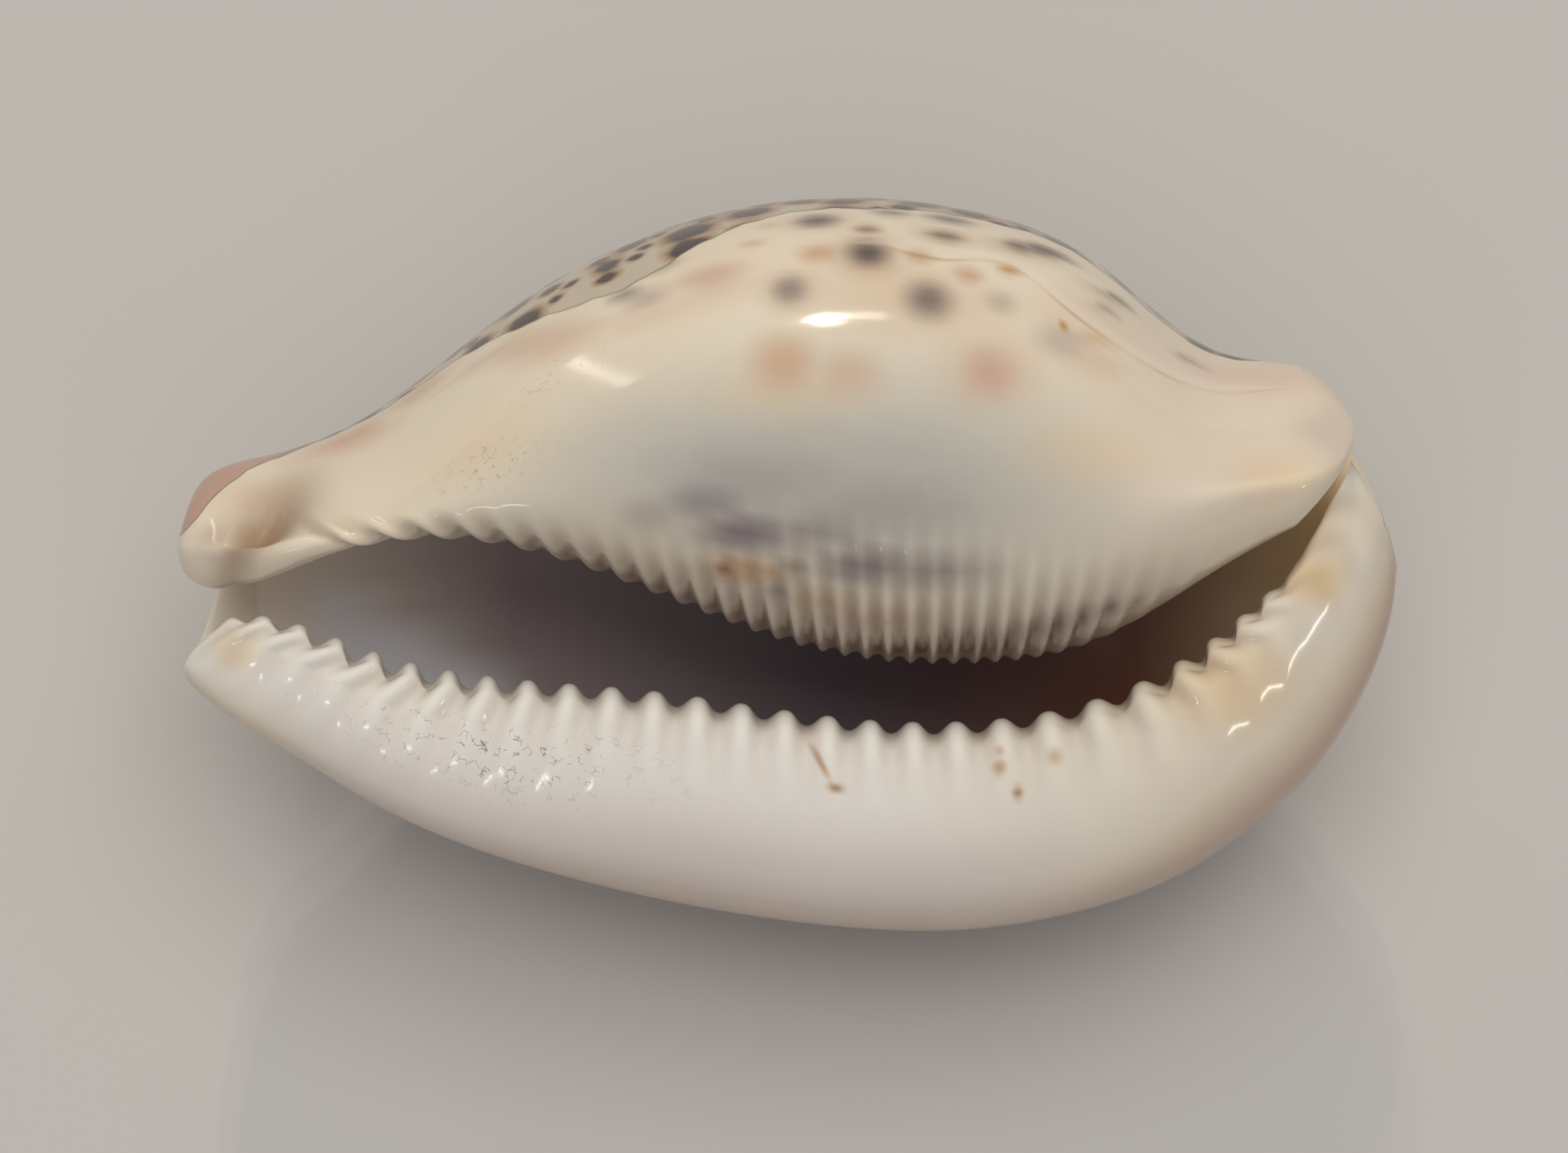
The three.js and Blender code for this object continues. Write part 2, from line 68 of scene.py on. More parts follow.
# The rim that each end closes on: key number of the outer run, then x, y, z
FRONT_RIM = [
    (0, -33.4, -2.3, 5.6), (2, -34.2, -3.6, 5.4), (5, -33.9, -4.6, 2.5), (7, -33, -3, -0.6),
    (9, -32.2, 0.8, -1.8), (11, -33, 4.2, -0.6), (13, -33.8, 4.6, 2), (16, -34.2, 3.8, 4.8),
    (18, -33.9, 3, 5), (20, -33, 2.4, 4.4),
]
BACK_RIM = [
    (0, 32, 8.2, 2.6), (2, 34.1, 4.4, 2.6), (5, 35.1, 0.2, 1.2), (7, 34.8, 1.3, -1.2),
    (9, 33.4, 4.6, -2.4), (11, 31.6, 8.5, -1.1), (13, 31.9, 10.5, 2), (16, 31.7, 10.9, 4.2),
    (18, 31.2, 11, 4.4), (20, 30.7, 10.9, 4),
]
CAP_START = (-30.5, 28.5)      # where each end begins to round off to its rim
CAP_END = (-35, 35)            # nominal ends of the shell
CAP_POWER = 2.3                # squareness of that rounding, 2 is a circle
CAP_CLOSE = 0.03               # share of the wall left where the rim is closed
CAP_ROWS = 24
MIDDLE_ROWS = 340              # about 14 rows to a tooth of the outer lip

# Key numbers go round a section: 0 at the edge of the outer lip, 2 on its crest, 5 on the outer
# flank, 9 on the back, 13 on the inner flank, 16 on the base, 18 at the edge of the inner lip, 20 in
# the curl, then 21 to 34 along the inside wall and home. Each run here is from, to, columns.
LAST_OUTER_KEY = 20
KEY_TOTAL = 35
COLUMN_RUNS = [
    (0, 2.5, 36), (2.5, 11.5, 84), (11.5, 14.5, 34), (14.5, 20, 52), (20, 33.4, 32), (33.4, 35, 18),
]
COLUMNS = np.concatenate([np.linspace(a, b, n, endpoint=False) for a, b, n in COLUMN_RUNS])
# For each inside key, the outer key number that it lies under, which pairs the walls at a rim
UNDER = [LAST_OUTER_KEY, 18.4, 16, 14.5, 13, 11.6, 10.4, 9, 7.6, 6.4, 5, 3.6, 2.1, 0.5]
RIM_NUMBERS = np.array([*range(LAST_OUTER_KEY + 1), *UNDER], float)


def smooth_curve(knots, values, at, period=None):
    """Cubic with continuous curvature through the values at the knots. On a span, with shares a and b
    of its two ends, a value is a times the first plus b times the second, plus a sixth of the span
    squared times (a cubed less a) of the first bend and (b cubed less b) of the second. The bends make
    the slopes meet at each knot. The ends are straight, or join each other over a period."""
    knots = np.asarray(knots, float)
    values = np.asarray(values, float)
    at = np.asarray(at, float)
    flat = values.reshape(len(knots), -1)
    here = np.arange(len(knots))
    before, after = here - 1, (here + 1) % len(knots)
    reach = knots[after] - knots
    if period:
        reach %= period
    back = reach[before]
    matrix = np.diag(2 * (back + reach))
    matrix[here, before] += back
    matrix[here, after] += reach
    right = 6 * ((flat[after] - flat) / reach[:, None] - (flat - flat[before]) / back[:, None])
    if period:
        knots = np.append(knots, knots[0] + period)
        at = (at - knots[0]) % period + knots[0]
    else:
        for end in (0, -1):
            matrix[end] = 0
            matrix[end, end] = 1
            right[end] = 0
    bend = np.linalg.solve(matrix, right)
    if period:
        flat = np.vstack([flat, flat[:1]])
        bend = np.vstack([bend, bend[:1]])
    i = np.clip(np.searchsorted(knots, at, side="right") - 1, 0, len(knots) - 2)
    span = (knots[i + 1] - knots[i])[..., None]
    b = (at - knots[i])[..., None] / span
    a = 1 - b
    found = a * flat[i] + b * flat[i + 1] + ((a**3 - a) * bend[i] + (b**3 - b) * bend[i + 1]) * span**2 / 6
    return found.reshape(at.shape + values.shape[1:])


def ease(start, end, at):
    """Goes from 0 at start to 1 at end: three times the share squared less twice its cube."""
    share = np.clip((at - start) / (end - start), 0, 1)
    return share * share * (3 - 2 * share)


def hump(offset):
    """A bell: one over e to the offset squared."""
    return np.exp(-offset * offset)


def soft_least(p, q):
    """The smaller of two lengths, with a soft change from one to the other: their product over the
    fourth root of the sum of their fourth powers."""
    return p * q / (p**4 + q**4) ** 0.25


def quarter(center_y, center_z, half_y, half_z, degrees, power=2.1):
    """A point on a quarter of a superellipse: each half width times the cosine or sine of the angle
    to the power of two over the squareness."""
    angle = np.radians(degrees)
    y = center_y + half_y * np.cos(angle) ** (2 / power)
    z = center_z + half_z * np.sin(angle) ** (2 / power)
    return y, z


def section_keys(x):
    """The 35 key points of the section at each x, as an array of places, keys and (y, z)."""
    values = smooth_curve(STATIONS, np.array(list(GUIDES.values()), float).T, x)
    g = dict(zip(GUIDES, values.T))
    gap = np.maximum(g["columellar_y"] - g["wall_columellar"] - g["edge_y"], 0.3)
    open_share = gap / (gap + 3)
    backs = (22, 45, 68)
    keys = [(g["lip_y"], g["lip_z"])]
    lip_half = (g["lip_y"] - g["crest_y"], g["crest_z"] - g["lip_z"])
    keys.append(quarter(g["crest_y"], g["lip_z"], *lip_half, 38, 2))
    keys.append((g["crest_y"], g["crest_z"]))
    shoulder = (g["labral_y"] - g["crest_y"], g["crest_z"] - g["labral_z"])
    keys += [quarter(g["crest_y"], g["labral_z"], *shoulder, angle, 2.05) for angle in (60, 30)]
    keys.append((g["labral_y"], g["labral_z"]))
    labral_back = (g["labral_y"] - g["dorsum_y"], g["dorsum_z"] - g["labral_z"])
    keys += [quarter(g["dorsum_y"], g["labral_z"], *labral_back, angle) for angle in backs]
    keys.append((g["dorsum_y"], g["dorsum_z"]))
    inner_back = (g["columellar_y"] - g["dorsum_y"], g["dorsum_z"] - g["columellar_z"])
    keys += [quarter(g["dorsum_y"], g["columellar_z"], *inner_back, angle) for angle in reversed(backs)]
    keys.append((g["columellar_y"], g["columellar_z"]))
    flank = (g["columellar_y"] - g["base_y"], g["base_z"] - g["columellar_z"])
    keys += [quarter(g["base_y"], g["columellar_z"], *flank, angle) for angle in (30, 60)]
    keys.append((g["base_y"], g["base_z"]))
    roll = (g["edge_y"] - g["base_y"], g["base_z"] - g["edge_z"])
    keys.append(quarter(g["base_y"], g["edge_z"], *roll, 45, 2))
    keys.append((g["edge_y"], g["edge_z"]))
    keys.append((g["edge_y"] + soft_least(0.1 * g["curl"], 0.07 * gap), g["edge_z"] - 0.45 * g["curl"]))
    keys.append((g["edge_y"] + soft_least(0.35 * g["curl"], 0.2 * gap), g["edge_z"] - g["curl"]))

    fold = 1.1 + 0.09 * g["curl"]
    low_fold = soft_least(0.35 * g["curl"] + 1.4 * fold, 0.5 * gap)
    keys.append((g["edge_y"] + low_fold, g["edge_z"] - 0.95 * g["curl"] - 0.2))
    high_fold = soft_least(0.1 * g["curl"] + 2 * fold, 0.7 * gap)
    keys.append((g["edge_y"] + high_fold, g["edge_z"] - 0.45 * g["curl"] - 0.3))
    under_y = g["edge_y"] + soft_least(g["base_y"] + 0.5 + 0.15 * g["curl"] - g["edge_y"], 0.9 * gap)
    under_z = (g["edge_z"] - 0.8) * (1 - open_share) + (g["base_z"] - g["wall_base"]) * open_share
    keys.append((under_y, under_z))
    inner_y = g["edge_y"] + gap
    floor_z = g["dorsum_z"] + g["wall_dorsum"]
    keys.append(quarter(under_y, g["columellar_z"], inner_y - under_y, under_z - g["columellar_z"], 45, 2))
    keys.append((inner_y, g["columellar_z"]))
    bowl = (inner_y - g["dorsum_y"], floor_z - g["columellar_z"])
    keys += [quarter(g["dorsum_y"], g["columellar_z"], *bowl, angle) for angle in (30, 60)]
    keys.append((g["dorsum_y"], floor_z))
    wall_y = g["labral_y"] + g["wall_labral"]
    bowl = (wall_y - g["dorsum_y"], floor_z - g["labral_z"])
    keys += [quarter(g["dorsum_y"], g["labral_z"], *bowl, angle) for angle in (60, 30)]
    keys.append((wall_y, g["labral_z"]))
    ceiling_y, ceiling_z = g["crest_y"] + 0.5, g["crest_z"] - g["wall_lip"]
    bay_y = g["labral_y"] + 1.3 * g["wall_labral"]
    keys.append(quarter(ceiling_y, g["labral_z"], bay_y - ceiling_y, ceiling_z - g["labral_z"], 45, 2))
    keys.append((ceiling_y, ceiling_z))
    keys.append((g["lip_y"] - 0.9, g["lip_z"] - 0.42 * g["wall_lip"]))
    return np.moveaxis(np.array(keys), -1, 0)


# Rows from the front rim to the back rim. In an end the keys draw in to the rim line by a
# superellipse, whose cosine part is the share of the wall still open.
last_angle = np.arccos(CAP_CLOSE ** (CAP_POWER / 2))
cap_angles = last_angle * np.arange(1, CAP_ROWS + 1) / CAP_ROWS
cap_along = np.sin(cap_angles) ** (2 / CAP_POWER)
cap_open = np.cos(cap_angles) ** (2 / CAP_POWER)
along = np.concatenate([cap_along[::-1], np.zeros(MIDDLE_ROWS), cap_along])
row_open = np.concatenate([cap_open[::-1], np.ones(MIDDLE_ROWS), cap_open])
row_x = np.concatenate([
    CAP_START[0] + (CAP_END[0] - CAP_START[0]) * cap_along[::-1],
    np.linspace(CAP_START[0], CAP_START[1], MIDDLE_ROWS),
    CAP_START[1] + (CAP_END[1] - CAP_START[1]) * cap_along,
])
sections = section_keys(row_x)
row_places = np.broadcast_to(row_x[:, None, None], sections.shape[:2] + (1,))
key_points = np.concatenate([row_places, sections], -1)
ends = ((FRONT_RIM, CAP_START[0], slice(0, CAP_ROWS)), (BACK_RIM, CAP_START[1], slice(-CAP_ROWS, None)))
for rim_rows, start, rows in ends:
    rim_rows = np.array(rim_rows, float)
    rim = smooth_curve(rim_rows[:, 0], rim_rows[:, 1:], RIM_NUMBERS)
    key_points[rows, :, 0] = start + (rim[:, 0] - start) * along[rows, None]
    key_points[rows, :, 1:] = rim[:, 1:] + (sections[rows] - rim[:, 1:]) * row_open[rows, None, None]

# The keys are spaced round the loop by the chords of the section near mid-length, made more even
MIDDLE_STATION = 2
CHORD_POWER = 0.75
middle = section_keys(np.array([MIDDLE_STATION]))[0]
spacing = np.linalg.norm(np.roll(middle, -1, axis=0) - middle, axis=1) ** CHORD_POWER
key_places = np.concatenate([[0], np.cumsum(spacing)])
column_places = np.interp(COLUMNS, np.arange(KEY_TOTAL + 1), key_places)
loops = smooth_curve(key_places[:-1], key_points.swapaxes(0, 1), column_places, key_places[-1])
smooth = loops.swapaxes(0, 1)


def outward(points):
    """The outward normal at each point of the grid: the step round the section crossed with the step
    along the shell, made one long."""
    round_step = np.roll(points, -1, axis=1) - np.roll(points, 1, axis=1)
    normal = np.cross(round_step, np.gradient(points, axis=0))
    return normal / np.linalg.norm(normal, axis=-1, keepdims=True)


# The teeth and folds of the mouth
# Both lips carry teeth of the same porcelain, laid down as the lip thickened. On the outer lip they
# are broad knobs that run out over the base, and on the inner lip fine ribs that go round its edge.
# A scoop with a raised rim lies behind the tip of the inner lip.
TEETH = {
    "outer_count": [-3.9, -1.3, 1.65, 5.33, 9.13, 12.8, 16.5, 19.13, 21.8, 26, 29.5],
    "outer_height": [0, 0.5, 1.15, 1.1, 1, 0.95, 0.95, 1, 0.9, 0, 0],
    "outer_lean": [-0.6, -0.55, -0.45, -0.2, -0.05, 0, 0.05, 0.15, 0.35, 0.5, 0.5],
    "outer_end": [2.4, 2.4, 2.3, 2.1, 1.9, 1.8, 1.8, 2, 2.2, 2.2, 2.2],
    "inner_count": [-5, -2.8, 0, 3.9, 8.9, 15.3, 22, 27, 30, 32, 33.5],
    "inner_height": [0.6, 0.6, 0.6, 0.44, 0.39, 0.4, 0.42, 0.42, 0.25, 0, 0],
    "inner_lean": [0.5, 0.5, 0.6, 0.65, 0.45, 0.2, -0.1, -0.45, -0.7, -0.8, -0.8],
    "inner_start": [13.2, 13.4, 14.7, 15.7, 15.8, 15.4, 15.4, 15.8, 16.2, 16.4, 16.6],
    "inner_end": [16, 16.3, 16.8, 17.8, 18.4, 18.6, 18.5, 17.5, 16.7, 16.6, 16.4],
}
OUTER_MM_PER_KEY = 4
INNER_MM_PER_KEY = 2.4
LEAN_KEY = 16                  # where a leaning rib lies at its own station
LIP_SIDE_KEY = 30              # keys past this one count back from the edge of the outer lip
KNOB_ROUNDNESS = 1.35          # over 1 makes round knobs with narrower valleys between
RIB_SHARPNESS = 1.5            # over 1 makes narrow ribs with broad grooves between
OUTER_VALLEY = 0.5             # how far down the valleys go, as a share of the height
INNER_VALLEY = 0.4
SCOOP_X = -29.3                # middle of the scoop behind the tip
SCOOP_DEPTH = 1.05
SWELLING_X = -27.8             # middle of the low swelling beside it
SWELLING_HEIGHT = 0.35


def along_shell(name, x):
    """A value of TEETH at each x, on the smooth curve through its stations."""
    return smooth_curve(STATIONS, TEETH[name], np.clip(x, STATIONS[0], STATIONS[-1]))


def crests(count):
    """1 on each whole number and 0 half way between: half of one plus the cosine of the turn."""
    return 0.5 + 0.5 * np.cos(2 * np.pi * count)


key = np.broadcast_to(COLUMNS, smooth.shape[:2])
x_mm = smooth[..., 0]
row_of = {name: along_shell(name, row_x)[:, None] for name in TEETH}
lip_key = np.where(key > LIP_SIDE_KEY, key - KEY_TOTAL, key)
outer_reach = ease(-1.6, -0.3, lip_key) * (1 - ease(-0.2, 1, lip_key / row_of["outer_end"]))
outer_shift = row_of["outer_lean"] * OUTER_MM_PER_KEY * np.maximum(lip_key, 0)
outer_wave = crests(along_shell("outer_count", x_mm - outer_shift))
inner_shift = row_of["inner_lean"] * INNER_MM_PER_KEY * (key - LEAN_KEY)
inner_count = along_shell("inner_count", x_mm - inner_shift)
inner_wave = crests(inner_count)
inner_reach = ease(0, 1.3, key - row_of["inner_start"]) * (1 - ease(-1.8, 0.6, key - row_of["inner_end"]))
inner_reach *= ease(-0.85, -0.35, inner_count)
scoop_x = x_mm - SCOOP_X
scoop_key = 14.8 - 0.55 * scoop_x + 0.11 * scoop_x**2
scoop_width = 0.95 + 0.3 * np.maximum(-scoop_x, 0)
scoop = ease(-3.3, -0.4, scoop_x) * hump(scoop_x / 2.3) * hump((key - scoop_key) / scoop_width)
swelling_x = x_mm - SWELLING_X
swelling = hump(swelling_x / 2.4) * hump((key - 16 + 0.12 * swelling_x) / 0.6)
relief = row_of["outer_height"] * outer_reach * (1 - (1 - outer_wave) ** KNOB_ROUNDNESS - OUTER_VALLEY)
relief += row_of["inner_height"] * inner_reach * (inner_wave**RIB_SHARPNESS - INNER_VALLEY)
relief += SWELLING_HEIGHT * swelling - SCOOP_DEPTH * scoop
surface = smooth + outward(smooth) * (relief * row_open[:, None])[..., None]

# The shell as it lies
# It rests on its back, rolled toward its outer lip, on a small flat spot. The mesh takes the grid
# above as quads, and a narrow strip of triangles across the wall closes it at each rim.
POSE_ROLL = 40                 # degrees that the base is turned from level
FLAT_DEPTH = 0.35              # mm of the back below the ground, which the flat takes off
MM = 0.001

turn = np.radians(POSE_ROLL)
lying = surface.copy()
lying[..., 1] = surface[..., 1] * np.cos(turn) - surface[..., 2] * np.sin(turn)
lying[..., 2] = surface[..., 1] * np.sin(turn) + surface[..., 2] * np.cos(turn)
lowest, highest = lying.min(axis=(0, 1)), lying.max(axis=(0, 1))
settle = np.array([-(lowest[0] + highest[0]) / 2, -(lowest[1] + highest[1]) / 2, -lowest[2] - FLAT_DEPTH])
lying += settle
lying[..., 2] = np.maximum(lying[..., 2], 0)

row_count, column_count = key.shape
corner = np.arange(row_count * column_count).reshape(row_count, column_count)
next_corner = np.roll(corner, -1, axis=1)
quads = np.stack([corner[:-1], next_corner[:-1], next_corner[1:], corner[1:]], axis=-1).reshape(-1, 4)


def rim_strip(row):
    """Triangles across the wall at a row. Walking round the outside and back along the inside side by
    side, each step goes to whichever run has the lower rim number next."""
    numbers = np.interp(COLUMNS, np.arange(KEY_TOTAL + 1), np.append(RIM_NUMBERS, 0))
    outer = np.flatnonzero(COLUMNS <= LAST_OUTER_KEY)
    inner = np.flatnonzero(COLUMNS > LAST_OUTER_KEY)[::-1]
    inner_at = np.searchsorted(numbers[inner][1:], numbers[outer][1:], side="left")
    outer_at = np.searchsorted(numbers[outer][1:], numbers[inner][1:], side="right")
    outer_steps = np.stack([outer[:-1], outer[1:], inner[inner_at]], axis=-1)
    inner_steps = np.stack([outer[outer_at], inner[1:], inner[:-1]], axis=-1)
    return corner[row][np.concatenate([outer_steps, inner_steps])]


strips = np.concatenate([rim_strip(0)[:, ::-1], rim_strip(row_count - 1)])
mesh = bpy.data.meshes.new("cowrie_shell")
mesh.from_pydata((lying.reshape(-1, 3) * MM).tolist(), [], quads.tolist() + strips.tolist())
mesh.shade_smooth()
shell = bpy.data.objects.new("cowrie_shell", mesh)
bpy.context.scene.collection.objects.link(shell)
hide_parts("shell")
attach(shell, "root")

# Where the colours lie
# The glaze of the base and flanks is a thick clear callus laid over the older, spotted shell, so a
# spot under it looks blurred and tinted, and only the back keeps its sharp dark ones. Each mark is
# listed as x in mm, key number, half length and half width in mm, turn in degrees, strength.
steps = np.linalg.norm(np.roll(smooth, -1, axis=1) - smooth, axis=-1)
arc = np.cumsum(steps, axis=1) - steps
outside = key <= LAST_OUTER_KEY


def paint(name, values):
    """Keeps one number for each point of the mesh, which the material reads by name."""
    layer = mesh.attributes.new(name, "FLOAT", "POINT")
    layer.data.foreach_set("value", np.ascontiguousarray(values, np.float32).ravel())


def grid_place(x, at_key):
    """The row and column nearest to an x and a key number."""
    return np.abs(row_x - x).argmin(), np.abs(COLUMNS - at_key).argmin()


def oval(x, at_key, half_length, half_width, degrees):
    """How far each point lies from a mark's centre, 1 on its outline: the distance along the shell
    and round it, turned by the mark's angle, each over its half width, joined by Pythagoras."""
    center = smooth[grid_place(x, at_key)]
    ahead = x_mm - center[0]
    apart = np.linalg.norm(smooth - center, axis=-1)
    aside = np.sqrt(np.maximum(apart**2 - ahead**2, 0)) * np.sign(key - at_key)
    angle = np.radians(degrees)
    length = (ahead * np.cos(angle) + aside * np.sin(angle)) / half_length
    width = (aside * np.cos(angle) - ahead * np.sin(angle)) / half_width
    return np.hypot(length, width)


BLURRED_MARKS = {
    "slate": [
        (1.9, 12.64, 1.3, 1, 0, 0.9), (4.7, 13.2, 1.25, 1.3, 0, 1), (4.7, 12.8, 0.7, 0.6, 0, 0.5),
        (6.1, 12.45, 1.3, 0.8, 0, 0.7), (9.3, 12.47, 1.7, 0.9, 0, 0.85), (9, 12.83, 1.1, 0.7, 0, 0.75),
        (13.1, 12.76, 1.1, 0.8, -20, 0.85), (14.5, 12.65, 2, 0.9, -20, 0.95),
        (8, 13.73, 1.5, 1.5, 0, 0.75), (-8.9, 13.18, 1.3, 0.8, 0, 0.6),
        (-11.9, 12.87, 1.6, 0.6, 15, 0.6), (18.5, 12.83, 1.9, 0.5, -25, 0.7),
        (17.9, 13.22, 1.5, 0.5, -20, 0.45), (22.6, 13.02, 2, 0.5, -15, 0.45),
        (11.9, 13.62, 1, 0.9, 0, 0.3),
    ],
    "mauve": [
        (0.3, 13.62, 1.05, 1.1, 0, 0.7), (-7.7, 13.35, 1.4, 1.1, 0, 0.4), (-7, 12.92, 1.4, 0.6, 0, 0.5),
        # The faint marks at x 31.2 on the back knob and x -32.6 at the front tip are painted shade on those
        # rounded ends
        (15.2, 13.9, 1.8, 1.2, 0, 0.35), (31.2, 14.2, 2, 2.4, 0, 0.22), (-32.6, 15, 2.4, 1.6, 0, 0.14),
        (-2, 15.3, 5, 1.8, 0, 0.25), (5, 15.5, 6, 1.8, 0, 0.25), (-4.2, 15.55, 2.6, 1.3, 0, 0.6),
        (-2.2, 15.8, 3, 1.3, 0, 0.9), (1.5, 15.65, 3.5, 1.1, 0, 0.55), (4.5, 15.85, 3, 1.2, 0, 0.8),
        (8, 15.85, 3, 1.1, 0, 0.6), (-7.4, 15.8, 1.8, 1.2, 0, 0.35), (10.5, 15.9, 1.8, 1, 0, 0.35),
        (-0.4, 16.32, 0.9, 0.7, 0, 0.6),
    ],
    "peach": [
        (0, 14.3, 2, 1.8, 0, 0.75), (3.6, 14.4, 2, 1.5, 0, 0.5), (1.9, 13.2, 1.2, 1, 0, 0.9),
        (-4.1, 13.4, 2.4, 1.4, 0, 0.35), (-1.8, 12.92, 0.8, 0.6, 0, 0.6),
        (-0.9, 12.66, 0.8, 0.6, 0, 0.5), (10.3, 13.36, 1, 0.8, 0, 0.9),
        (-15.2, 13.08, 3.4, 1.5, 10, 0.45), (-20.8, 12.6, 3.6, 1.5, 10, 0.65),
        (-24.5, 12.6, 3.5, 1.4, 0, 0.65), (11.2, 14.35, 2.9, 2.4, 0, 0.4),
        (17.6, 13.95, 2.6, 1.1, -15, 0.3), (6.5, 13.7, 6, 2.6, 0, 0.3), (-5, 13.4, 5, 2, 0, 0.25),
    ],
    "rose": [
        (-4.1, 13.26, 2.2, 1.1, 0, 0.6), (11.2, 14.3, 1.5, 1.4, 0, 0.55), (-17.5, 13, 3.2, 1, 10, 0.3),
        (-9, 13.6, 2.6, 1, 10, 0.25), (-33.2, 12.4, 1.5, 1.2, 0, 0.3), (-13, 13.4, 6, 1.8, 8, 0.5),
        (-24, 12.9, 4.5, 1.5, 8, 0.45), (26, 12.9, 5, 2.4, 0, 0.3), (17, 13.4, 5, 2, 0, 0.2),
        (-30, 13.6, 2.6, 1.6, 0, 0.2),
    ],
    "honey": [
        (30.5, 1, 2.2, 1.7, 0, 0.7), (-31.2, 1.1, 1.8, 1.5, 0, 0.5), (31.2, 34.4, 1.5, 2, 0, 0.5),
        (-17, 14.6, 5.5, 2.2, 5, 0.22), (0, 14.6, 5, 1.6, 0, 0.25), (17, 14.9, 5, 2, 0, 0.25),
        (25.5, 1.2, 4.5, 3, 0, 0.55), (27.5, 15.2, 3, 1.8, 0, 0.3),
    ],
    "halo": [
        (4.7, 13.2, 2.1, 2.1, 0, 0.7), (-7, 12.9, 2, 0.9, 0, 0.5), (9, 12.85, 1.9, 1.1, 0, 0.6),
        (4.7, 12.8, 1, 0.8, 0, 0.8), (7.4, 13.2, 1, 0.8, 0, 0.8), (14, 12.72, 3.2, 1.3, -20, 0.6),
        (0.3, 13.62, 1.7, 1.7, 0, 0.35), (-2.4, 16.2, 3, 1, 0, 0.7), (2, 16.3, 2, 0.8, 0, 0.55),
        (5, 16.4, 3, 0.8, 0, 0.5), (1.9, 12.64, 1.9, 1.4, 0, 0.6), (18.5, 12.9, 2.4, 0.9, -25, 0.4),
        # The halo at x -29.3 darkens the scoop behind the tip: painted shade
        (-29.3, 14.7, 2, 1, 0, 0.4), (-32.4, 14.9, 1.2, 0.8, 0, 0.25),
    ],
    "gold": [
        (12.5, 13.19, 0.8, 0.55, -15, 0.85), (15.5, 13.72, 0.28, 0.28, 0, 0.95),
        (17.2, 13.72, 1.8, 0.6, -15, 0.4), (-2.4, 16.13, 1.6, 0.6, 0, 0.5),
        (1.2, 16.2, 1, 0.5, 0, 0.25), (-0.9, 16.05, 0.6, 0.4, 0, 0.4), (2.1, 0.85, 1.3, 0.22, 62, 0.75),
        (2.9, 1.16, 0.55, 0.3, 0, 0.8), (12.2, 0.9, 0.4, 0.5, 20, 0.65),
        (13.1, 1.25, 0.35, 0.45, 0, 0.7), (12.1, 0.5, 0.3, 0.3, 0, 0.45),
        (15.2, 0.84, 0.5, 0.5, 0, 0.45),
    ],
    "rust": [
        (-3.3, 16.2, 0.5, 0.5, 0, 0.6), (0.5, 15.93, 0.8, 0.8, 0, 0.55),
        (13.1, 1.25, 0.22, 0.3, 0, 0.4), (3, 1.16, 0.3, 0.16, 0, 0.35),
    ],
    "grime": [
        (5.8, 16.9, 0.9, 1.1, 0, 0.8), (7.4, 16.85, 0.9, 1.2, 0, 0.9), (9.3, 16.75, 1, 1.5, 0, 1),
        (10.7, 16.7, 0.9, 1.5, 0, 1), (12.2, 16.7, 0.9, 1.4, 0, 1), (13.6, 16.65, 0.8, 1.3, 0, 0.9),
        (15, 16.6, 0.9, 1.5, 0, 1), (16.4, 16.6, 0.8, 1.3, 0, 0.95), (17.8, 16.65, 1, 0.9, 0, 0.8),
        (19.5, 16.7, 1, 0.7, 0, 0.5),
    ],
}
MARK_BLUR = (0.1, 1.5)         # where a mark starts and ends fading, in half widths
RIBS_FREE = 0.6                # share of the grime that the crests of the ribs keep off
ROUND_LIP_KEY = 33.5           # inside keys from here on still belong to the outer lip
for tint, marks in BLURRED_MARKS.items():
    layers = [mark[5] * (1 - ease(*MARK_BLUR, oval(*mark[:5]))) for mark in marks]
    held = 1 - RIBS_FREE * inner_wave if tint == "grime" else 1
    paint(tint, np.max(layers, axis=0) * held * (outside | (key > ROUND_LIP_KEY)))

# The edge of the callus on both flanks, as key numbers at places along the shell. The depth is how
# far a point lies inside it, in mm round the section.
INNER_CALLUS = [
    (-35, 15), (-33.5, 14.1), (-32, 13.4), (-28.6, 12.3), (-24, 12.1), (-16, 12.7), (-12, 13),
    (-7, 12.95), (-2, 12.5), (2, 12.4), (12, 12.3), (20, 12.35), (26, 12.2), (30, 11.2), (35, 10),
]
OUTER_CALLUS = [
    (-35, 3.5), (-30, 4.6), (-24, 5.2), (-16, 5.6), (-6, 5.9), (4, 5.8), (12, 5.9), (20, 5.7),
    (27, 6.1), (30, 7), (35, 8),
]
CALLUS_REACH = 6               # mm from its edge that the layer counts


def arc_at(edge):
    """How far round each section the key numbers of an edge lie, in mm, read between the columns."""
    places, keys = np.array(edge, float).T
    column = np.interp(smooth_curve(places, keys, row_x), COLUMNS, np.arange(column_count))
    low = column.astype(int)
    rows = np.arange(row_count)
    share = column - low
    return (arc[rows, low] * (1 - share) + arc[rows, low + 1] * share)[:, None]


# The edges waver a little, as the mantle laid them down
ripple = 0.15 * np.sin(row_x * 0.9) + 0.1 * np.sin(row_x * 2.3 + 1) + 0.04 * np.sin(row_x * 5.1)
inner_depth = arc - arc_at(INNER_CALLUS) + ripple[:, None]
outer_depth = arc_at(OUTER_CALLUS) - arc + np.roll(ripple, 40)[:, None]
callus_depth = np.clip(np.maximum(inner_depth, outer_depth), -CALLUS_REACH, CALLUS_REACH)
paint("callus", np.where(outside, callus_depth, CALLUS_REACH))

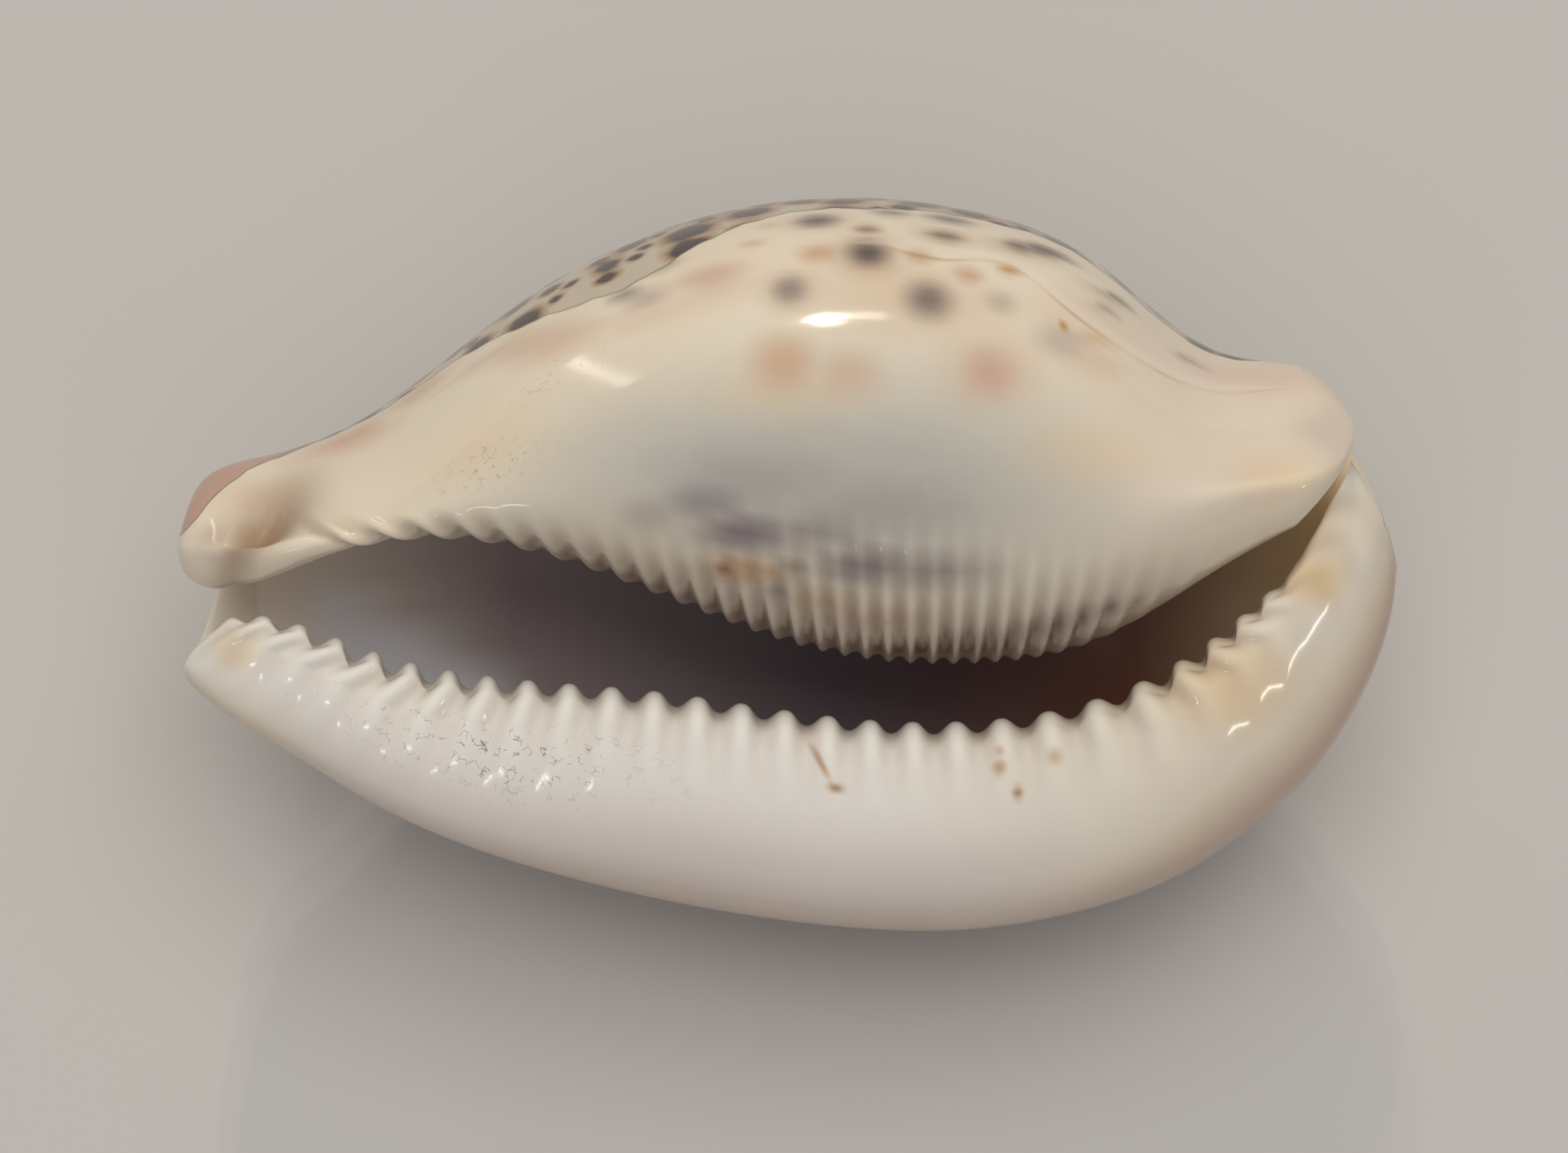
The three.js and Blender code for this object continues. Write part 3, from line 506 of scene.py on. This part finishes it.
# A thin fold of the callus runs along the flank, as key numbers again. Its layer is the distance from
# it in mm, which is stretched toward its two ends, so that the fold thins out there.
FOLD = [
    (-35, 12.9), (0, 13.05), (6, 13.09), (8.8, 13.18), (12.5, 13.09), (15.5, 13.44), (19, 13.62),
    (22.2, 13.53), (26.2, 13.26), (35, 13),
]
FOLD_FRONT, FOLD_BACK = (3, 7), (29, 25)    # x where each end of the fold starts and is whole
THINNEST = 0.02
fold_front = ease(*FOLD_FRONT, x_mm).clip(THINNEST)
fold_back = ease(*FOLD_BACK, x_mm).clip(THINNEST)
paint("fold", (arc - arc_at(FOLD)) / fold_front / fold_back)

# The sharp spots of the back, each as x, key number and radius in mm. Those along the edge that the
# photograph shows come first, and the rest are thrown at random over the back and kept where they
# don't crowd the ones before.
SEEN_SPOTS = [
    (-15.3, 12, 1.3), (-13.2, 12.3, 0.8), (-11.8, 12.3, 1.1), (-10, 12.5, 0.9), (-8.7, 12.1, 1.2),
    (-5.5, 12.4, 1.6), (-2, 12.25, 1.5), (1, 12.05, 1.3), (3.4, 12.1, 1.3), (7.8, 12.05, 1.5),
    (10.6, 12.1, 1.4), (15.8, 12.15, 1.3), (17.6, 12.1, 1.2), (19.3, 12.15, 1),
]
SPOT_SEED = 11
SPOT_THROWS = 2600
SPOT_CROWDING = 0.92           # share of the two radii that spots keep apart
FAR = 3.0                      # radii from a spot at which it no longer shows
random = np.random.default_rng(SPOT_SEED)
thrown = np.column_stack([
    random.uniform(-31, 31, SPOT_THROWS), random.uniform(5.2, 12.8, SPOT_THROWS),
    0.55 + 1.35 * random.uniform(0, 1, SPOT_THROWS) ** 1.6,
])
spots = []
for x, at_key, radius in [*SEEN_SPOTS, *thrown.tolist()]:
    center = smooth[grid_place(x, at_key)]
    if all(np.linalg.norm(center - kept[:3]) > SPOT_CROWDING * (radius + kept[3]) for kept in spots):
        spots.append((*center, radius))
nearest = np.full(key.shape, FAR)
for *center, radius in spots:
    nearest = np.minimum(nearest, np.linalg.norm(smooth - center, axis=-1) / radius)
paint("spot", np.where(outside, nearest, FAR))

# The ghosts are older spots deeper in the glaze, which only cloud the back
GHOST_COUNT = 70
ghost_x = random.uniform(-30, 30, GHOST_COUNT)
ghost_key = random.uniform(5.5, 12.6, GHOST_COUNT)
ghost_radius = random.uniform(1.2, 2.4, GHOST_COUNT)
ghosts = np.full(key.shape, FAR)
for x, at_key, radius in zip(ghost_x, ghost_key, ghost_radius):
    center = smooth[grid_place(x, at_key)]
    ghosts = np.minimum(ghosts, np.linalg.norm(smooth - center, axis=-1) / radius)
paint("ghost", np.where(outside, 1 - ease(0.3, 1.3, ghosts), 0))

# Broad zones: the hollow with a pale patch of painted light behind the front teeth, the clear stretch of
# the flank, the blush at the blunt end, the rosy outer margin, the pale lip with the lilac below its
# teeth, the ribs, the darker valleys, the scoop, both tips, the share of the length and the scuffed
# places. The margin and the ribs are darkened partly as painted shade where they turn from the light,
# and the scoop is darkened as painted shade. The numbers are the keys and the x in mm at which a zone
# starts, lies or ends.
in_hollow = np.where(key < LAST_OUTER_KEY, 0, ease(20, 21.5, key) * ease(33.9, 32.6, key))
paint("hollow", in_hollow * ease(34, 30.5, x_mm))
# Painted light: a pale patch on the wall behind the front teeth, where light falls into the hollow past the
# inner lip, up to its shadow edge
lit_patch_edge = 29.3 + 0.1 * (x_mm + 24)
paint("lit_patch", ease(-0.3, 0.3, key - lit_patch_edge) * ease(-12, -17, x_mm) * ease(-29, -26, x_mm))
paint("clear", hump((key - 15.2) / 0.9) * ease(-26, -3, x_mm) * ease(31, 6, x_mm))
paint("blush", np.where(outside, ease(14, 22, x_mm) * ease(12.3, 13, key) * ease(16.5, 15, key), 0))
# The outer margin gets a rosy brown tone: partly its own colour, partly painted shade where it turns away
# from the light
paint("margin", ease(-0.2, 2, key - 2.3 + 0.4 * ease(10, 26, x_mm)) * ease(7, 5.5, key))
paint("lip", ease(2.7, 1.3, lip_key) * ease(-1.5, -0.8, lip_key) * (0.35 + 0.65 * ease(23, 3, x_mm)))
paint("lilac", hump((lip_key - 2.4) / 0.8) * ease(24, 6, x_mm) * ease(-32, -22, x_mm))
# The ribbed lower flank gets a darker brownish tone: partly its own colour, partly painted shade where it
# turns away from the light
paint("ribs", ease(15.8, 17, key) * ease(21, 19.5, key) * ease(-26, -12, x_mm) * ease(26, 17, x_mm))
paint("groove", outer_reach * (1 - outer_wave) * 0.5 + inner_reach * (1 - inner_wave**RIB_SHARPNESS))
# The scoop behind the tip is tinted brown as painted shade in its hollow
scoop_shade = hump(scoop_x / 2.8) * hump((key - scoop_key) / (scoop_width + 0.3))
paint("fossula_shade", ease(-4.8, -2, scoop_x) * scoop_shade)
paint("tips", ease(-26, -30, x_mm) + ease(29, 33, x_mm))
paint("along", (x_mm - CAP_END[0]) / (CAP_END[1] - CAP_END[0]))
lip_scuffs = hump((x_mm + 16) / 8) * hump((lip_key - 1.25) / 0.42)
low_scuffs = hump(np.hypot((x_mm + 16.5) / 2.6, (key - 15) / 0.35))
high_scuffs = hump(np.hypot((x_mm + 12) / 2.4, (key - 14) / 0.2))
paint("scuffs", lip_scuffs + 0.8 * (low_scuffs + high_scuffs))

# The porcelain of the shell
# Cowrie porcelain is crossed layers of aragonite under a clear callus, polished by the animal's own
# mantle. It is hard, glossy and a little see-through, so it takes a sharp highlight and a soft glow.


def linear(hex_color):
    """An sRGB hex value as linear colour: each channel over 255, plus 0.055, over 1.055, to the power
    2.4, or over 12.92 where it is very dark."""
    channels = np.array([int(hex_color[i:i + 2], 16) for i in (1, 3, 5)]) / 255
    bright = np.where(channels > 0.04045, ((channels + 0.055) / 1.055) ** 2.4, channels / 12.92)
    return (*bright.tolist(), 1)


porcelain = bpy.data.materials.new("polished_aragonite")
porcelain.use_nodes = True
tree = porcelain.node_tree
tree.nodes.clear()


def add(kind, inputs=(), out=0, **settings):
    """Adds a node and gives back one of its outputs. Settings are its own properties. Inputs go to its
    sockets by place or by name: another node's output is linked, and anything else is the value."""
    node = tree.nodes.new(kind)
    for name, value in settings.items():
        setattr(node, name, value)
    for socket, value in inputs.items() if isinstance(inputs, dict) else enumerate(inputs):
        if isinstance(value, bpy.types.NodeSocket):
            tree.links.new(value, node.inputs[socket])
        else:
            node.inputs[socket].default_value = value
    return node.outputs[out]


MIX_FACTOR, MIX_UNDER, MIX_OVER, MIX_RESULT = 0, 6, 7, 2    # places of the colour mix's sockets
painted = {}
for name in mesh.attributes.keys():
    if mesh.attributes[name].data_type == "FLOAT" and mesh.attributes[name].domain == "POINT":
        painted[name] = add("ShaderNodeAttribute", out="Fac", attribute_name=name)
place = add("ShaderNodeTexCoord", out="Object")
CLOUD_MM = 6                   # size of the soft clouding in the glaze
MOTTLE_MM = 1.3                # size of the raggedness of the spots
cloud = add("ShaderNodeTexNoise", {"Vector": place, "Scale": 1 / (CLOUD_MM * MM), "Detail": 2})
mottle = add("ShaderNodeTexNoise", {"Vector": place, "Scale": 1 / (MOTTLE_MM * MM), "Detail": 3})
uneven = add("ShaderNodeMapRange", (mottle, 0.3, 0.7, 0.97, 1.03))

# The glaze of the base, then each tint over it: layer, colour, strength. The tint of the scoop behind the
# tip is painted shade, and the margin and ribs tints are partly painted shade where those turn from the
# light
color = add("ShaderNodeMix", {MIX_FACTOR: cloud, MIX_UNDER: linear("#ede2cb"), MIX_OVER: linear("#e4d2b6")},
            out=MIX_RESULT, data_type="RGBA")
TINTS = [
    ("lip", "#f7f0e3", 0.95), ("lilac", "#dbd0cf", 0.6), ("clear", "#b5b2a7", 0.95),
    ("blush", "#dccab9", 0.4), ("margin", "#b28b75", 0.9), ("ribs", "#9d8a7c", 0.85),
    ("fossula_shade", "#8f7257", 0.95), ("honey", "#e6bf7c", 0.85), ("peach", "#c28f63", 0.75),
    ("rose", "#c08a77", 0.8), ("halo", "#ab835c", 0.85), ("mauve", "#74646a", 0.95),
    ("slate", "#54474a", 0.97), ("gold", "#b8832f", 0.95), ("rust", "#6d4324", 0.9),
    ("grime", "#4f3220", 0.95),
]
for name, hex_color, strength in TINTS:
    share = add("ShaderNodeMath", (painted[name], strength), operation="MULTIPLY")
    share = add("ShaderNodeMath", (share, uneven), operation="MULTIPLY", use_clamp=True)
    color = add("ShaderNodeMix", {MIX_FACTOR: share, MIX_UNDER: color, MIX_OVER: linear(hex_color)},
                out=MIX_RESULT, data_type="RGBA")

# The valleys between the teeth and ribs made darker
share = add("ShaderNodeMath", (painted["groove"], 0.65), operation="MULTIPLY")
color = add("ShaderNodeMix", {MIX_FACTOR: share, MIX_UNDER: color, MIX_OVER: linear("#a8927c")},
            out=MIX_RESULT, data_type="RGBA", blend_type="MULTIPLY")

# Hair-fine scratches where the lips were scuffed: short pieces of the borders of a cell pattern, bent
# and broken up by noises
SCUFF_MM = 0.55                # size of the cells
HAIR_MM = 0.028                # half width of a scratch, drawn as coarse as it needs to show
BEND_MM = 0.5                  # size and reach of the noise that bends them
BREAK_MM = 0.6                 # size of the noise that breaks them up
bend_reach = (BEND_MM * MM, BEND_MM * MM, BEND_MM * MM)
bent = add("ShaderNodeTexNoise", {"Vector": place, "Scale": 1 / (BEND_MM * MM), "Detail": 1}, out="Color")
bent = add("ShaderNodeVectorMath", (bent, bend_reach, place), operation="MULTIPLY_ADD")
border = add("ShaderNodeTexVoronoi", {"Vector": bent, "Scale": 1 / (SCUFF_MM * MM)},
             feature="DISTANCE_TO_EDGE")
hair = add("ShaderNodeMapRange", (border, 0, HAIR_MM / SCUFF_MM, 1, 0))
broken = add("ShaderNodeTexNoise", {"Vector": place, "Scale": 1 / (BREAK_MM * MM), "Detail": 1})
broken = add("ShaderNodeMapRange", (broken, 0.54, 0.6))
hair = add("ShaderNodeMath", (hair, broken), operation="MULTIPLY")
scuff = add("ShaderNodeMath", (hair, painted["scuffs"]), operation="MULTIPLY")
color = add("ShaderNodeMix", {MIX_FACTOR: scuff, MIX_UNDER: color, MIX_OVER: linear("#77716c")},
            out=MIX_RESULT, data_type="RGBA")

# A thin fold of the callus: an amber line under a milky veil
LINE_MM = 0.12                 # from the fold to the line, toward the mouth
VEIL_MM = 0.55                 # from the fold to the middle of the veil, toward the back
line = add("ShaderNodeMath", (painted["fold"], LINE_MM), operation="SUBTRACT")
line = add("ShaderNodeMath", (line,), operation="ABSOLUTE")
line = add("ShaderNodeMapRange", (line, 0.02, 0.3, 0.5, 0), interpolation_type="SMOOTHSTEP")
faint = add("ShaderNodeMapRange", (cloud, 0.4, 0.62, 0.25, 1))
line = add("ShaderNodeMath", (line, faint), operation="MULTIPLY")
veil = add("ShaderNodeMath", (painted["fold"], VEIL_MM), operation="ADD")
veil = add("ShaderNodeMath", (veil,), operation="ABSOLUTE")
veil = add("ShaderNodeMapRange", (veil, 0.1, 0.75, 0.22, 0), interpolation_type="SMOOTHSTEP")
for share, hex_color in ((veil, "#f1e7d6"), (line, "#bd935d")):
    color = add("ShaderNodeMix", {MIX_FACTOR: share, MIX_UNDER: color, MIX_OVER: linear(hex_color)},
                out=MIX_RESULT, data_type="RGBA")

# The back: a creamy ground clouded with grey, amber round each spot, and a dark brown core
back = add("ShaderNodeMix", {MIX_FACTOR: cloud, MIX_UNDER: linear("#d9cbb0"), MIX_OVER: linear("#b3a694")},
           out=MIX_RESULT, data_type="RGBA")
shift = add("ShaderNodeMapRange", (mottle, 0.0, 1.0, -0.3, 0.3))
ragged = add("ShaderNodeMath", (painted["spot"], shift), operation="ADD")
BACK_LAYERS = [
    (painted["ghost"], 0, 1, 0.6, "#847a76"), (ragged, 1.6, 0.9, 0.75, "#a0743f"),
    (ragged, 1.12, 0.62, 1, "#33211a"),
]
for source, low, high, strength, hex_color in BACK_LAYERS:
    share = add("ShaderNodeMapRange", (source, low, high, 0, strength), interpolation_type="SMOOTHSTEP")
    back = add("ShaderNodeMix", {MIX_FACTOR: share, MIX_UNDER: back, MIX_OVER: linear(hex_color)},
               out=MIX_RESULT, data_type="RGBA")
back = add("ShaderNodeMix", {MIX_FACTOR: painted["tips"], MIX_UNDER: back, MIX_OVER: linear("#bf9a86")},
           out=MIX_RESULT, data_type="RGBA")
on_back = add("ShaderNodeMapRange", (painted["callus"], 0.12, -0.12), interpolation_type="SMOOTHSTEP")
color = add("ShaderNodeMix", {MIX_FACTOR: on_back, MIX_UNDER: color, MIX_OVER: back},
            out=MIX_RESULT, data_type="RGBA")

# The hollow: warm and pale at the front, dark brown violet in the middle, reddish toward the back
HOLLOW_STOPS = [
    (0.03, "#fbeeda"), (0.12, "#f0e2d0"), (0.27, "#b5a5a2"), (0.55, "#8f8186"), (0.8, "#9a6550"),
    (0.93, "#ffe0aa"),
]
ramp = add("ShaderNodeValToRGB", (painted["along"],))
stops = ramp.node.color_ramp.elements
while len(stops) < len(HOLLOW_STOPS):
    stops.new(0.5)
for stop, (place_along, hex_color) in zip(stops, HOLLOW_STOPS):
    stop.position = place_along
    stop.color = linear(hex_color)
# The near-white patch behind the front teeth is painted light in the hollow
inside = add("ShaderNodeMix", {MIX_FACTOR: painted["lit_patch"], MIX_UNDER: ramp, MIX_OVER: linear("#e9e7e8")},
             out=MIX_RESULT, data_type="RGBA")
color = add("ShaderNodeMix", {MIX_FACTOR: painted["hollow"], MIX_UNDER: color, MIX_OVER: inside},
            out=MIX_RESULT, data_type="RGBA")

# The relief too fine for the mesh: the ledge at the callus edge and a faint orange peel
LEDGE_MM = 0.15
PEEL_MM = 0.003
PEEL_SIZE_MM = 0.8
ledge = add("ShaderNodeMapRange", (painted["callus"], -0.15, 0.15, 0, LEDGE_MM * MM),
            interpolation_type="SMOOTHSTEP")
peel = add("ShaderNodeTexNoise", {"Vector": place, "Scale": 1 / (PEEL_SIZE_MM * MM), "Detail": 2})
height = add("ShaderNodeMath", (peel, PEEL_MM * MM, ledge), operation="MULTIPLY_ADD")

# The surface: glossy, with the scoop behind the tip less polished than the rest
GLAZE_ROUGHNESS = 0.11
SCOOP_ROUGHNESS = 0.45
GLOW_MM = 1.5                  # how far light spreads below the glaze
dull = add("ShaderNodeMapRange", (painted["fossula_shade"], 0.1, 0.6, GLAZE_ROUGHNESS, SCOOP_ROUGHNESS))
bumped = add("ShaderNodeBump", {"Strength": 1.0, "Distance": 1.0, "Height": height})
porcelain_shader = add("ShaderNodeBsdfPrincipled", {
    "Base Color": color, "Normal": bumped, "Roughness": dull, "IOR": 1.53,
    "Subsurface Weight": 0.15, "Subsurface Scale": GLOW_MM * MM, "Subsurface Radius": (1.0, 0.75, 0.55),
    "Coat Weight": 0.1, "Coat Roughness": 0.04, "Coat IOR": 1.5,
})
surface_output = tree.nodes.new("ShaderNodeOutputMaterial")
tree.links.new(porcelain_shader, surface_output.inputs["Surface"])
mesh.materials.append(porcelain)

# Table, lights and camera
# A pale matt table top, soft panels in front of and behind the shell, and the camera where the
# photograph's stood: a little toward the inner lip from straight above the mouth.
TABLE_HALF = 1.5               # metres
table_mesh = bpy.data.meshes.new("table_top")
table_corners = [(-TABLE_HALF, -TABLE_HALF, 0), (TABLE_HALF, -TABLE_HALF, 0),
                 (TABLE_HALF, TABLE_HALF, 0), (-TABLE_HALF, TABLE_HALF, 0)]
table_mesh.from_pydata(table_corners, [], [(0, 1, 2, 3)])
table = bpy.data.objects.new("table_top", table_mesh)
bpy.context.scene.collection.objects.link(table)
laminate = bpy.data.materials.new("matt_laminate")
laminate.use_nodes = True
laminate_shader = laminate.node_tree.nodes["Principled BSDF"]
laminate_shader.inputs["Base Color"].default_value = linear("#c4c0b9")
laminate_shader.inputs["Roughness"].default_value = 0.75
table_mesh.materials.append(laminate)

CAMERA_ELEVATION = 80          # degrees above the table, square to the shell's length
CAMERA_MM = 330                # distance that gives the photograph's perspective
FRAME_MM = 90.2                # width that the photograph takes in at the shell
FRAME_DROP_MM = 0.72           # how far the photograph's middle lies below the shell's own origin
SENSOR_MM = 36
rise = np.radians(CAMERA_ELEVATION)
toward_camera = Vector((0, -np.cos(rise), np.sin(rise)))
picture_up = Vector((0, np.sin(rise), np.cos(rise)))
target = Vector(settle) - picture_up * FRAME_DROP_MM
camera = bpy.data.objects.new("camera", bpy.data.cameras.new("camera"))
camera.data.sensor_width = SENSOR_MM
camera.data.lens = SENSOR_MM * CAMERA_MM / FRAME_MM
camera.location = (target + toward_camera * CAMERA_MM) * MM
camera.rotation_euler = toward_camera.to_track_quat("Z", "Y").to_euler()
bpy.context.scene.collection.objects.link(camera)
bpy.context.scene.camera = camera

# Each lamp: direction toward it as x, y, z, distance, width and height in metres, watts, colour
LAMPS = {
    "pane_1": ((-0.035, 0.74, 0.68), 1.2, 0.02, 0.026, 0.6, "#fff4e4"),
    "pane_2": ((-0.07, 0.775, 0.64), 1.2, 0.016, 0.02, 0.45, "#fff4e4"),
    "pane_3": ((-0.02, 0.79, 0.622), 1.2, 0.018, 0.014, 0.45, "#fff4e4"),
    "pane_4": ((-0.055, 0.8, 0.605), 1.2, 0.014, 0.012, 0.3, "#fff4e4"),
    "window_glow": ((0.0, 0.8, 0.62), 1.3, 0.26, 0.12, 0.6, "#fff2e0"),
    "strip_behind": ((-0.51, 0.79, 0.36), 1.2, 0.035, 0.9, 0.6, "#fff6ea"),
    "front_left": ((-0.42, -0.75, 0.5), 1.1, 0.25, 0.03, 0.3, "#f6f4ff"),
    "front_right": ((0.75, -0.62, 0.22), 1.1, 0.2, 0.02, 0.35, "#f8f4ee"),
    "soft_above": ((0.05, 0.25, 1), 1.6, 1.1, 1.1, 13, "#fdfbf8"),
    "soft_front": ((0, -0.25, 1), 1.6, 1.4, 1.4, 7, "#f8f8ff"),
}
for name, (direction, distance, width, height_m, watts, hex_color) in LAMPS.items():
    lamp = bpy.data.objects.new(name, bpy.data.lights.new(name, "AREA"))
    lamp.data.shape = "RECTANGLE"
    lamp.data.size = width
    lamp.data.size_y = height_m
    lamp.data.energy = watts
    lamp.data.color = linear(hex_color)[:3]
    lamp.location = Vector(direction).normalized() * distance
    lamp.rotation_euler = Vector(direction).to_track_quat("Z", "Y").to_euler()
    lamp.visible_glossy = not name.startswith("soft")
    bpy.context.scene.collection.objects.link(lamp)
world = bpy.data.worlds.new("room")
world.use_nodes = True
background = world.node_tree.nodes["Background"]
background.inputs["Color"].default_value = linear("#d8d8dc")
background.inputs["Strength"].default_value = 0.24
bpy.context.scene.world = world
bpy.context.scene.view_settings.view_transform = "Standard"
